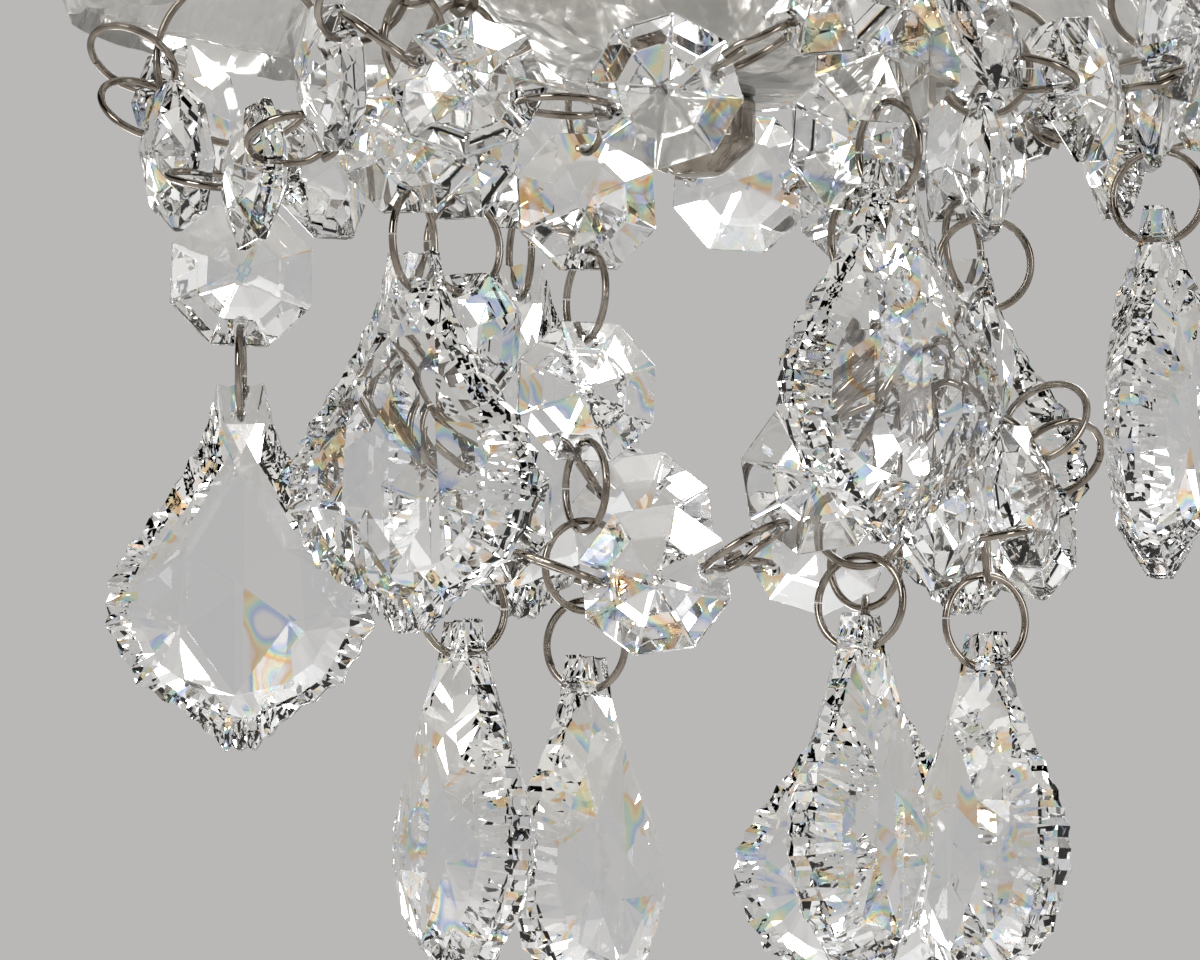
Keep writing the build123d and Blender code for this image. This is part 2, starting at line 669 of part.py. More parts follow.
save(bored(stepped(lower_glass_top, LOWER_GLASS_HEIGHT, [(r * LOWER_GLASS_DIA, s) for r, s in lower_shares])),
     "lower_baluster")
save(make_dish(), "petal_dish")
nut_top = rim_z + DISH_CENTRE_LEVEL
cap_nut = turned([(BORE / 2, nut_top), (CAP_NUT_DIA / 2, nut_top), (CAP_NUT_DIA / 2, nut_top - 0.6 * CAP_NUT_HEIGHT),
                  (0.2 * CAP_NUT_DIA, nut_top - CAP_NUT_HEIGHT), (0, nut_top - CAP_NUT_HEIGHT),
                  (0, nut_top - CAP_NUT_HEIGHT / 2), (BORE / 2, nut_top - CAP_NUT_HEIGHT / 2)])
save(cap_nut, "cap_nut")
for index in range(ARMS):
    save(make_arm(index), f"arm_{index + 1}")
dish_glass = turned([(0, 0), (0.22 * ARM_DISH_DIA, 0), (0.4 * ARM_DISH_DIA, 0.3 * ARM_DISH_HEIGHT),
                     (0.5 * ARM_DISH_DIA, ARM_DISH_HEIGHT), (0.5 * ARM_DISH_DIA - ARM_DISH_GLASS, ARM_DISH_HEIGHT),
                     (0.4 * ARM_DISH_DIA - 0.5, 0.3 * ARM_DISH_HEIGHT + ARM_DISH_GLASS),
                     (0.24 * ARM_DISH_DIA, ARM_DISH_GLASS), (0, ARM_DISH_GLASS)])
save_group(at_arm_ends(dish_glass), "arm_dishes")
sleeve_foot = ARM_DISH_GLASS
sleeve = turned([(CANDLE_DIA / 2, sleeve_foot), (CANDLE_DIA / 2, sleeve_foot + CANDLE_HEIGHT),
                 (CANDLE_DIA / 2 - CANDLE_WALL, sleeve_foot + CANDLE_HEIGHT),
                 (CANDLE_DIA / 2 - CANDLE_WALL, sleeve_foot)])
save_group(at_arm_ends(sleeve), "candle_sleeves")
holder_top = sleeve_foot + HOLDER_HEIGHT
holder = turned([(0, sleeve_foot), (HOLDER_DIA / 2, sleeve_foot), (HOLDER_DIA / 2, holder_top), (0, holder_top)],
                sides=8)
save_group(at_arm_ends(holder), "lamp_holders")
bulb_shares = [(0.3, 0), (0.3, 0.2), (0.5, 0.42), (0.4, 0.66), (0.14, 0.9), (0, 1)]
bulb_profile = [(0, holder_top)] + [(r * BULB_DIA, holder_top + s * BULB_HEIGHT) for r, s in bulb_shares]
save_group(at_arm_ends(turned(bulb_profile, sides=10)), "bulbs")
print(f"rim {rim_z:.3f}  eye {eye_centre:.3f}  loop {loop_centre:.3f}  arm end {arm_end:.3f}")
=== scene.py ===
import bmesh
import bpy
import json
import math
import random
from mathutils import Matrix, Vector

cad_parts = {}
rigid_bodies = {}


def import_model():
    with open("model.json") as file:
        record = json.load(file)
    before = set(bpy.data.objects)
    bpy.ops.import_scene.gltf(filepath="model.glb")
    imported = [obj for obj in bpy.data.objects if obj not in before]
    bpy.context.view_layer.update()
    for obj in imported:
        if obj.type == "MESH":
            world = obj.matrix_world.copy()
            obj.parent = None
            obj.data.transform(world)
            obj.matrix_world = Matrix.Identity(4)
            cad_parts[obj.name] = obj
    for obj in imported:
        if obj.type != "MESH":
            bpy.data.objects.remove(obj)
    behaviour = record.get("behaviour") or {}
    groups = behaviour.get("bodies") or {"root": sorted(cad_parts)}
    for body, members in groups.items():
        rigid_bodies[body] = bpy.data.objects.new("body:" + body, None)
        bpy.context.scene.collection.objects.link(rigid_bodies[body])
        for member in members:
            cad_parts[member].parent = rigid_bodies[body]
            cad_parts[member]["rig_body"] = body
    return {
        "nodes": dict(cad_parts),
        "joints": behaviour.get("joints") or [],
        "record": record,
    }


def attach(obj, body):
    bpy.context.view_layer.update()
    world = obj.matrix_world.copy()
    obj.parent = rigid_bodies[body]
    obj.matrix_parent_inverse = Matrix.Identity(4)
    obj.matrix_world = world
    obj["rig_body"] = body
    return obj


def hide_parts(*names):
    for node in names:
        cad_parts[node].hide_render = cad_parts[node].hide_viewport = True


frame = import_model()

bl_info = {
    "name": "Crystal chandelier",
    "version": (1, 0, 0),
    "blender": (4, 5, 0),
    "location": "3D View > Sidebar > Chandelier",
    "description": "Wire rings, cut crystals, pressed glass and stage of a small crystal chandelier",
    "category": "Object",
}

MM = 0.001
NODES = frame["nodes"]
JOINTS = {joint["child"]: joint for joint in frame["joints"]}
RING_NODES = sorted(name for name in NODES if name.endswith("_rings"))
BEAD_NODES = sorted(name for name in NODES if name.endswith("_octagons"))
DROP_NODES = sorted(name for name in NODES if "pendalogue" in name)
HUB_Z = -187.4
RIM_Z = -222.4
ARM_END_Z = -175.4


# ---------------------------------------------------------------- materials

def linear(hex_colour):
    """sRGB hex colour as a linear RGBA tuple."""
    channels = [int(hex_colour[i:i + 2], 16) / 255 for i in (1, 3, 5)]
    return tuple(c / 12.92 if c <= 0.04045 else ((c + 0.055) / 1.055) ** 2.4 for c in channels) + (1.0,)


def add_node(tree, kind, settings=None, **links):
    """Adds a node, sets its properties and sockets, and links its inputs by name or number."""
    node = tree.nodes.new(kind)
    for name, value in (settings or {}).items():
        if name.startswith("in:"):
            key = name[3:]
            node.inputs[int(key) if key.isdigit() else key].default_value = value
        else:
            setattr(node, name, value)
    for name, source in links.items():
        key = name.replace("_", " ")
        tree.links.new(source, node.inputs[int(key[1:]) if key[0] == "n" and key[1:].isdigit() else key])
    return node


def blank_material(name):
    material = bpy.data.materials.new(name)
    material.use_nodes = True
    tree = material.node_tree
    tree.nodes.clear()
    output = add_node(tree, "ShaderNodeOutputMaterial")
    shader = add_node(tree, "ShaderNodeBsdfPrincipled")
    tree.links.new(shader.outputs["BSDF"], output.inputs["Surface"])
    return material, tree, shader


def set_sockets(shader, **values):
    for name, value in values.items():
        shader.inputs[name.replace("_", " ")].default_value = value


def colour_steps(tree, factor, stops, interpolation="LINEAR"):
    """Colour ramp with the given (position, hex colour) stops."""
    ramp = add_node(tree, "ShaderNodeValToRGB", Fac=factor)
    ramp.color_ramp.interpolation = interpolation
    while len(ramp.color_ramp.elements) < len(stops):
        ramp.color_ramp.elements.new(0.5)
    for element, (position, colour) in zip(ramp.color_ramp.elements, stops):
        element.position = position
        element.color = linear(colour)
    return ramp.outputs["Color"]


def object_position(tree):
    return add_node(tree, "ShaderNodeTexCoord").outputs["Object"]


def cut_crystal():
    """Lead crystal, cut and wheel polished: clear flat facets, a few painted with rainbow flashes of blue, orange and
    yellow.
    """
    material, tree, shader = blank_material("lead_crystal_cut_polished")
    look = bpy.context.scene.chandelier_glass
    facet = add_node(tree, "ShaderNodeAttribute", {"attribute_name": "facet"}).outputs["Fac"]
    clear = colour_steps(tree, facet, [(0.0, "#FFFFFF"), (0.45, look.crystal_hex), (0.8, "#FDFDFB")], "CONSTANT")
    # painted dispersion flashes: a few facets get painted rainbow bands about 4 mm wide in their colour
    bands = add_node(tree, "ShaderNodeTexNoise", {"in:Scale": 1 / (4 * MM), "in:Detail": 0.0},
                     Vector=object_position(tree))
    painted_rainbow = colour_steps(tree, bands.outputs["Fac"], [
        (0.34, "#FFFFFF"), (0.41, "#FFB877"), (0.47, "#FFF2A8"), (0.52, "#A9ECDD"), (0.57, "#9DB4FF"),
        (0.65, "#FFFFFF")])
    # facets above this share are painted with the rainbow bands, as painted flashes of split light
    painted_flashes = add_node(tree, "ShaderNodeMath", {"operation": "GREATER_THAN", "in:1": look.painted_flash_from}, n0=facet)
    tint = add_node(tree, "ShaderNodeMix", {"data_type": "RGBA"}, n0=painted_flashes.outputs[0], n6=clear, n7=painted_rainbow)
    tree.links.new(tint.outputs[2], shader.inputs["Base Color"])
    set_sockets(shader, Transmission_Weight=1.0, IOR=look.crystal_ior, Roughness=0.012)
    # Wheel marks are microns deep: drawn at 2 mm, as a faint waviness of each facet
    waves = add_node(tree, "ShaderNodeTexNoise", {"in:Scale": 1 / (2 * MM), "in:Detail": 2.0},
                     Vector=object_position(tree))
    bump = add_node(tree, "ShaderNodeBump", {"in:Strength": 0.05, "in:Distance": 0.02 * MM},
                    Height=waves.outputs["Fac"])
    tree.links.new(bump.outputs["Normal"], shader.inputs["Normal"])
    return material


def pressed_glass():
    """Soda glass, pressed and fire polished: soft ripples and leaf veins, the tone a little greyer in random patches.
    """
    material, tree, shader = blank_material("soda_glass_pressed")
    look = bpy.context.scene.chandelier_glass
    place = object_position(tree)
    mottle = add_node(tree, "ShaderNodeTexNoise", {"in:Scale": 1 / (14 * MM), "in:Detail": 3.0}, Vector=place)
    tint = colour_steps(tree, mottle.outputs["Fac"], [(0.35, look.pressed_hex), (0.7, "#FBFAF8")])
    tree.links.new(tint, shader.inputs["Base Color"])
    set_sockets(shader, Transmission_Weight=0.8, IOR=1.52, Roughness=0.08)
    veins = add_node(tree, "ShaderNodeTexVoronoi", {"feature": "DISTANCE_TO_EDGE", "in:Scale": 1 / (5 * MM)},
                     Vector=place)
    vein_height = colour_steps(tree, veins.outputs["Distance"], [(0.0, "#FFFFFF"), (0.16, "#000000")])
    ripples = add_node(tree, "ShaderNodeTexNoise", {"in:Scale": 1 / (7 * MM), "in:Detail": 2.0}, Vector=place)
    first = add_node(tree, "ShaderNodeBump", {"in:Strength": 0.2, "in:Distance": 0.2 * MM}, Height=vein_height)
    second = add_node(tree, "ShaderNodeBump", {"in:Strength": 0.3, "in:Distance": 0.5 * MM},
                      Height=ripples.outputs["Fac"], Normal=first.outputs["Normal"])
    tree.links.new(second.outputs["Normal"], shader.inputs["Normal"])
    return material


def polished_nickel():
    """Nickel plate, buffed: warm grey mirror with fine buffing scuffs; its colour is painted darker and browner, with
    lighter and darker random spots, as painted dark reflection.
    """
    material, tree, shader = blank_material("nickel_plate_buffed")
    look = bpy.context.scene.chandelier_metal
    place = object_position(tree)
    spots = add_node(tree, "ShaderNodeTexNoise", {"in:Scale": 1 / (3 * MM), "in:Detail": 5.0}, Vector=place)
    # painted dark reflection: in random spots the colour runs from dark brown through the darkened nickel colour to
    # pale grey
    tint = colour_steps(tree, spots.outputs["Fac"], [(0.3, "#6E655C"), (0.52, look.nickel_painted_darker_hex), (0.8, "#B9B3AC")])
    tree.links.new(tint, shader.inputs["Base Color"])
    scuffs = add_node(tree, "ShaderNodeMapRange", {"in:3": 0.04, "in:4": 0.16}, n0=spots.outputs["Fac"])
    tree.links.new(scuffs.outputs["Result"], shader.inputs["Roughness"])
    set_sockets(shader, Metallic=1.0)
    lines = add_node(tree, "ShaderNodeTexNoise", {"in:Scale": 1 / (0.6 * MM), "in:Detail": 3.0}, Vector=place)
    bump = add_node(tree, "ShaderNodeBump", {"in:Strength": 0.12, "in:Distance": 0.02 * MM},
                    Height=lines.outputs["Fac"])
    tree.links.new(bump.outputs["Normal"], shader.inputs["Normal"])
    return material


def zinc_steel():
    """Mild steel, rolled and zinc plated: dull bluish grey, streaked along the strip."""
    material, tree, shader = blank_material("mild_steel_zinc_plated")
    place = object_position(tree)
    stretched = add_node(tree, "ShaderNodeMapping", {"in:Scale": (0.1, 1.0, 1.0)}, Vector=place)
    streaks = add_node(tree, "ShaderNodeTexNoise", {"in:Scale": 1 / (0.8 * MM), "in:Detail": 4.0},
                       Vector=stretched.outputs["Vector"])
    tint = colour_steps(tree, streaks.outputs["Fac"], [(0.3, "#9A9C9C"), (0.7, "#BFC1C0")])
    tree.links.new(tint, shader.inputs["Base Color"])
    rough = add_node(tree, "ShaderNodeMapRange", {"in:3": 0.3, "in:4": 0.5}, n0=streaks.outputs["Fac"])
    tree.links.new(rough.outputs["Result"], shader.inputs["Roughness"])
    set_sockets(shader, Metallic=1.0)
    return material


def moulded_plastic(name, light_hex, dark_hex, roughness, grain_mm):
    """Moulded plastic: even colour with a fine moulded grain."""
    material, tree, shader = blank_material(name)
    place = object_position(tree)
    cloud = add_node(tree, "ShaderNodeTexNoise", {"in:Scale": 1 / (12 * MM), "in:Detail": 2.0}, Vector=place)
    tint = colour_steps(tree, cloud.outputs["Fac"], [(0.3, dark_hex), (0.7, light_hex)])
    tree.links.new(tint, shader.inputs["Base Color"])
    grain = add_node(tree, "ShaderNodeTexNoise", {"in:Scale": 1 / (grain_mm * MM), "in:Detail": 2.0}, Vector=place)
    bump = add_node(tree, "ShaderNodeBump", {"in:Strength": 0.2, "in:Distance": 0.05 * MM},
                    Height=grain.outputs["Fac"])
    tree.links.new(bump.outputs["Normal"], shader.inputs["Normal"])
    set_sockets(shader, Roughness=roughness)
    return material


def frosted_bulb():
    """Lamp glass, blown and acid frosted: milky, a soft shine on the outside."""
    material, tree, shader = blank_material("lamp_glass_frosted")
    frost = add_node(tree, "ShaderNodeTexNoise", {"in:Scale": 1 / (0.9 * MM), "in:Detail": 3.0},
                     Vector=object_position(tree))
    tint = colour_steps(tree, frost.outputs["Fac"], [(0.3, "#E9E6DE"), (0.7, "#F7F5EF")])
    tree.links.new(tint, shader.inputs["Base Color"])
    set_sockets(shader, Transmission_Weight=0.55, Roughness=0.35, IOR=1.5, Coat_Weight=0.3)
    return material


def material_for(slot):
    """The material of a record slot, made once."""
    makers = {
        "cut_crystal": cut_crystal,
        "pressed_glass": pressed_glass,
        "polished_nickel": polished_nickel,
        "plated_steel": zinc_steel,
        "bulb_glass": frosted_bulb,
        "candle_white": lambda: moulded_plastic("card_tube_white", "#F1EDE2", "#E6E0D1", 0.55, 0.8),
        "holder_plastic": lambda: moulded_plastic("phenolic_moulded", "#D8D4C9", "#C9C4B8", 0.4, 0.6),
        "terminal_plastic": lambda: moulded_plastic("polyamide_moulded", "#E8E6DF", "#DCDAD2", 0.45, 0.6),
    }
    if slot not in MATERIALS:
        MATERIALS[slot] = makers[slot]()
    return MATERIALS[slot]


MATERIALS = {}


# ---------------------------------------------------------------- modelling helpers

def deselect():
    if bpy.context.object and bpy.context.object.mode != "OBJECT":
        bpy.ops.object.mode_set(mode="OBJECT")
    bpy.ops.object.select_all(action="DESELECT")


def edit(obj):
    deselect()
    obj.select_set(True)
    bpy.context.view_layer.objects.active = obj
    bpy.ops.object.mode_set(mode="EDIT")


def select_faces(obj, wanted):
    """Edit mode: selects the faces that the test takes."""
    mesh = bmesh.from_edit_mesh(obj.data)
    for element in list(mesh.verts) + list(mesh.edges) + list(mesh.faces):
        element.select = False
    for face in [face for face in mesh.faces if wanted(face)]:
        face.select = True
    mesh.select_flush_mode()
    bmesh.update_edit_mesh(obj.data)


def finish_model(obj, smooth_degrees):
    """Leaves edit mode, cleans the mesh and sets its shading."""
    if obj.mode != "EDIT":
        edit(obj)
    bpy.ops.mesh.select_all(action="SELECT")
    bpy.ops.mesh.remove_doubles(threshold=0.002 * MM)
    bpy.ops.mesh.normals_make_consistent(inside=False)
    bpy.ops.object.mode_set(mode="OBJECT")
    if smooth_degrees:
        bpy.ops.object.shade_smooth_by_angle(angle=math.radians(smooth_degrees))
    else:
        bpy.ops.object.shade_flat()


def apply_modifiers(obj):
    deselect()
    obj.select_set(True)
    bpy.context.view_layer.objects.active = obj
    for modifier in list(obj.modifiers):
        bpy.ops.object.modifier_apply(modifier=modifier.name)


def turned_piece(name, outline, steps=64, smooth_degrees=40):
    """Turned shape: a circle's points are moved to the outline (radius, height in mm) and spun."""
    deselect()
    bpy.ops.mesh.primitive_circle_add(vertices=len(outline), radius=0.01)
    obj = bpy.context.object
    obj.name = name
    for vertex, (radius, height) in zip(obj.data.vertices, outline):
        vertex.co = (radius * MM, 0, height * MM)
    edit(obj)
    bpy.ops.mesh.select_all(action="SELECT")
    bpy.ops.mesh.spin(steps=steps, angle=2 * math.pi, center=(0, 0, 0), axis=(0, 0, 1))
    finish_model(obj, smooth_degrees)
    return obj


def rounded_outline(points, radius=0.5, steps=3):
    """Closed outline with each corner off the axis rounded by a short curve."""
    result = []
    for i, here in enumerate(points):
        before, after = Vector(points[i - 1]), Vector(points[(i + 1) % len(points)])
        corner = Vector(here)
        reach = min(radius, (before - corner).length * 0.4, (after - corner).length * 0.4)
        if corner.x < 0.01 or reach < 0.02:
            result.append(tuple(corner))
            continue
        start = corner + (before - corner).normalized() * reach
        end = corner + (after - corner).normalized() * reach
        for k in range(steps + 1):
            t = k / steps
            result.append(tuple(start * (1 - t) ** 2 + corner * 2 * t * (1 - t) + end * t ** 2))
    return result


def set_down(model, spots, name, body, slot, nodes):
    """Copies a model to each matrix, as one piece that rides on a body and stands for the nodes."""
    pool = bmesh.new()
    for spot in spots:
        first = len(pool.verts)
        pool.from_mesh(model.data)
        pool.verts.ensure_lookup_table()
        bmesh.ops.transform(pool, matrix=spot, verts=pool.verts[first:])
    facet = pool.faces.layers.float.new("facet")
    draw = random.Random(name)
    for face in pool.faces:
        face[facet] = draw.random()
    mesh = bpy.data.meshes.new(name)
    pool.to_mesh(mesh)
    pool.free()
    piece = bpy.data.objects.new(name, mesh)
    bpy.context.scene.collection.objects.link(piece)
    mesh.materials.append(material_for(slot))
    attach(piece, body)
    if nodes:
        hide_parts(*nodes)
    return piece


def drop_model(model):
    mesh = model.data
    bpy.data.objects.remove(model)
    bpy.data.meshes.remove(mesh)


def separate_solids(node):
    """Point sets of the separate solids of a CAD node."""
    pool = bmesh.new()
    pool.from_mesh(NODES[node].data)
    bmesh.ops.remove_doubles(pool, verts=pool.verts[:], dist=0.001 * MM)
    seen, solids = set(), []
    for start in pool.verts:
        if start.index in seen:
            continue
        seen.add(start.index)
        waiting, points = [start], []
        while waiting:
            vertex = waiting.pop()
            points.append(vertex.co.copy())
            for edge in vertex.link_edges:
                other = edge.other_vert(vertex)
                if other.index not in seen:
                    seen.add(other.index)
                    waiting.append(other)
        solids.append(points)
    pool.free()
    return solids


def thin_direction(points, centre):
    """Unit vector across the thinnest way through a flat solid."""
    best, direction = 1e9, None
    spread = [p - centre for p in points]
    for i in range(0, len(spread), 2):
        for j in range(i + 1, len(spread), 3):
            way = spread[i].cross(spread[j])
            if way.length < 1e-7:
                continue
            way.normalize()
            width = max(abs(p.dot(way)) for p in spread)
            if width < best - 1e-9:
                best, direction = width, way
    return direction


def body_of(node):
    return NODES[node]["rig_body"]


def frame_matrix(centre, normal, up):
    """Matrix with Y along the normal and Z along up."""
    side = normal.cross(up).normalized()
    up = side.cross(normal).normalized()
    return Matrix.Translation(centre) @ Matrix((side, normal, up)).transposed().to_4x4()


# ---------------------------------------------------------------- settings

class ChandelierWire(bpy.types.PropertyGroup):
    wire: bpy.props.FloatProperty(name="Wire", description="Diameter of the ring wire in mm", default=0.8)
    ring: bpy.props.FloatProperty(name="Small ring", description="Mean diameter of a small ring in mm", default=9.5)
    large_ring: bpy.props.FloatProperty(name="Large ring", description="Mean diameter of the large ring in mm",
                                        default=18.0)
    overlap: bpy.props.FloatProperty(name="Overlap", description="How far a ring's ends pass each other",
                                     default=math.radians(26), subtype="ANGLE")


class ChandelierGlass(bpy.types.PropertyGroup):
    bead_width: bpy.props.FloatProperty(name="Bead width", description="Octagon bead across flats in mm",
                                        default=14.6)
    bead_pitch: bpy.props.FloatProperty(name="Bead holes", description="Distance between a bead's holes in mm",
                                        default=10.6)
    drop_width: bpy.props.FloatProperty(name="Drop width", description="Pendalogue width in mm", default=28.0)
    drop_height: bpy.props.FloatProperty(name="Drop height", description="Pendalogue height in mm", default=38.0)
    crystal_ior: bpy.props.FloatProperty(name="Crystal IOR", description="Refraction of lead crystal", default=1.56)
    # share of facets painted with rainbow flashes, as painted dispersion light
    painted_flash_from: bpy.props.FloatProperty(name="Flash share", description="Facets above this share flash in colours",
                                        default=0.91)
    crystal_hex: bpy.props.StringProperty(name="Crystal colour", description="sRGB hex", default="#F7F8FA")
    pressed_hex: bpy.props.StringProperty(name="Pressed glass colour", description="sRGB hex", default="#F0EFEC")
    flutes: bpy.props.IntProperty(name="Flutes", description="Flutes round the dish", default=48)
    flute_depth: bpy.props.FloatProperty(name="Flute depth", description="Depth of a flute in mm", default=0.7)


class ChandelierMetal(bpy.types.PropertyGroup):
    # the nickel colour is set darker and browner than bare nickel, as painted dark reflection
    nickel_painted_darker_hex: bpy.props.StringProperty(name="Nickel colour", description="sRGB hex", default="#968D83")


class ChandelierStage(bpy.types.PropertyGroup):
    backdrop_hex: bpy.props.StringProperty(name="Backdrop", description="sRGB hex", default="#B9B8B7")
    floor_hex: bpy.props.StringProperty(name="Floor", description="sRGB hex", default="#D9D7D3")
    ceiling_hex: bpy.props.StringProperty(name="Dim ceiling", description="sRGB hex seen in metal and glass",
                                          default="#3B332D")
    key: bpy.props.FloatProperty(name="Key lamp", description="Power in W", default=5.0)
    fill: bpy.props.FloatProperty(name="Fill lamp", description="Power in W", default=2.4)
    back: bpy.props.FloatProperty(name="Back lamp", description="Power in W", default=3.0)


# ---------------------------------------------------------------- pieces

class CHANDELIER_OT_wire_rings(bpy.types.Operator):
    """Round nickel wire rings: ends pass each other in the swags, and meet in the fixed rings"""
    bl_idname = "chandelier.wire_rings"
    bl_label = "Wire rings"

    def model(self, mean_dia, overlap):
        sizes = bpy.context.scene.chandelier_wire
        half_wire, radius = sizes.wire / 2 * MM, mean_dia / 2 * MM
        section, steps = 10, 54
        whole = 2 * math.pi + overlap
        deselect()
        bpy.ops.mesh.primitive_circle_add(vertices=section, radius=half_wire, fill_type="NGON")
        ring = bpy.context.object
        edit(ring)
        bpy.ops.mesh.select_all(action="SELECT")
        bpy.ops.transform.rotate(value=math.pi / 2, orient_axis="X", center_override=(0, 0, 0))
        bpy.ops.transform.translate(value=(radius, 0, 0))
        bpy.ops.mesh.spin(steps=steps, angle=whole, center=(0, 0, 0), axis=(0, 0, 1))
        bpy.ops.object.mode_set(mode="OBJECT")
        # the two ends step aside from each other over the last 40 degrees
        for index, vertex in enumerate(ring.data.vertices):
            share = (index // section) / steps
            away = abs(share - 0.5) * whole - (whole / 2 - overlap - math.radians(20))
            aside = min(max(away / math.radians(20), 0), 1) if overlap > 0 else 0
            vertex.co.z += math.copysign(aside * half_wire * 1.02, share - 0.5)
        finish_model(ring, 60)
        # ends face +X: turn half the overlap back, and lay the ring in the XZ plane
        ring.data.transform(Matrix.Rotation(math.pi / 2, 4, "X") @ Matrix.Rotation(-overlap / 2, 4, "Z"))
        return ring

    def execute(self, context):
        sizes = context.scene.chandelier_wire
        passing = self.model(sizes.ring, sizes.overlap)
        meeting = self.model(sizes.ring, -math.radians(2))
        large = self.model(sizes.large_ring, -math.radians(1))
        for node in RING_NODES:
            small = meeting if node in ("hook_rings", "strand_rings") else passing
            spots = {"small": [], "large": []}
            for points in separate_solids(node):
                centre = sum(points, Vector()) / len(points)
                normal = thin_direction(points, centre)
                ends = normal.cross(Vector((0, 0, 1)))
                ends = ends.normalized() if ends.length > 0.1 else Vector((1, 0, 0))
                up = ends.cross(normal)
                size = "large" if max((p - centre).length for p in points) > 7 * MM else "small"
                spots[size].append(frame_matrix(centre, normal, up))
            set_down(small, spots["small"], "wire_" + node, body_of(node), "polished_nickel", [node])
            if spots["large"]:
                set_down(large, spots["large"], "wire_large_ring", body_of(node), "polished_nickel", [])
        for ring in (passing, meeting, large):
            drop_model(ring)
        return {"FINISHED"}


class CHANDELIER_OT_octagon_beads(bpy.types.Operator):
    """Two-hole octagon beads: eight facets to the centre, a bevelled band and a narrow girdle"""
    bl_idname = "chandelier.octagon_beads"
    bl_label = "Octagon beads"

    def model(self):
        sizes = bpy.context.scene.chandelier_glass
        corner = sizes.bead_width / 2 / math.cos(math.pi / 8)
        deselect()
        bpy.ops.mesh.primitive_cylinder_add(vertices=8, radius=corner * MM, depth=0.9 * MM,
                                            rotation=(math.pi / 2, 0, 0))
        bead = bpy.context.object
        bpy.ops.object.transform_apply(rotation=True)
        bead.data.transform(Matrix.Rotation(math.pi / 8, 4, "Y"))
        edit(bead)
        for side in (1, -1):
            select_faces(bead, lambda face: face.normal.y * side > 0.9)
            bpy.ops.mesh.extrude_region_move(TRANSFORM_OT_translate={"value": (0, side * 1.75 * MM, 0)})
            share = 7.6 / sizes.bead_width
            bpy.ops.transform.resize(value=(share, 1, share), center_override=(0, side * 2.2 * MM, 0))
            bpy.ops.mesh.poke(offset=1.1 * MM)
        bpy.ops.object.mode_set(mode="OBJECT")
        bevel = bead.modifiers.new("edges", "BEVEL")
        bevel.width, bevel.segments, bevel.angle_limit = 0.09 * MM, 1, math.radians(8)
        bevel.limit_method = "ANGLE"
        apply_modifiers(bead)
        for side in (1, -1):
            deselect()
            bpy.ops.mesh.primitive_cylinder_add(vertices=20, radius=0.8 * MM, depth=8 * MM,
                                                rotation=(math.pi / 2, 0, 0),
                                                location=(0, 0, side * sizes.bead_pitch / 2 * MM))
            drill = bpy.context.object
            cut = bead.modifiers.new("hole", "BOOLEAN")
            cut.operation, cut.object, cut.solver = "DIFFERENCE", drill, "EXACT"
            apply_modifiers(bead)
            drop_model(drill)
        finish_model(bead, 0)
        return bead

    def execute(self, context):
        bead = self.model()
        pitch = context.scene.chandelier_glass.bead_pitch
        for node in BEAD_NODES:
            spots = []
            for points in separate_solids(node):
                centre = sum(points, Vector()) / len(points)
                normal = thin_direction(points, centre)
                if normal is None:
                    raise RuntimeError("no flat way through a bead of " + node)
                low = min((p for p in points), key=lambda p: abs((p - centre).length - 6.2 * MM))
                hole_side = [p for p in points if 4.35 * MM < (p - centre - normal * (p - centre).dot(normal)).length
                             < 6.8 * MM]
                along = low - centre
                total = Vector()
                for p in hole_side:
                    flat = p - centre - normal * (p - centre).dot(normal)
                    total += flat * (1 if flat.dot(along) > 0 else -1)
                spots.append(frame_matrix(centre, normal, total.normalized()))
            set_down(bead, spots, "cut_" + node, body_of(node), "cut_crystal", [node])
        drop_model(bead)
        return {"FINISHED"}


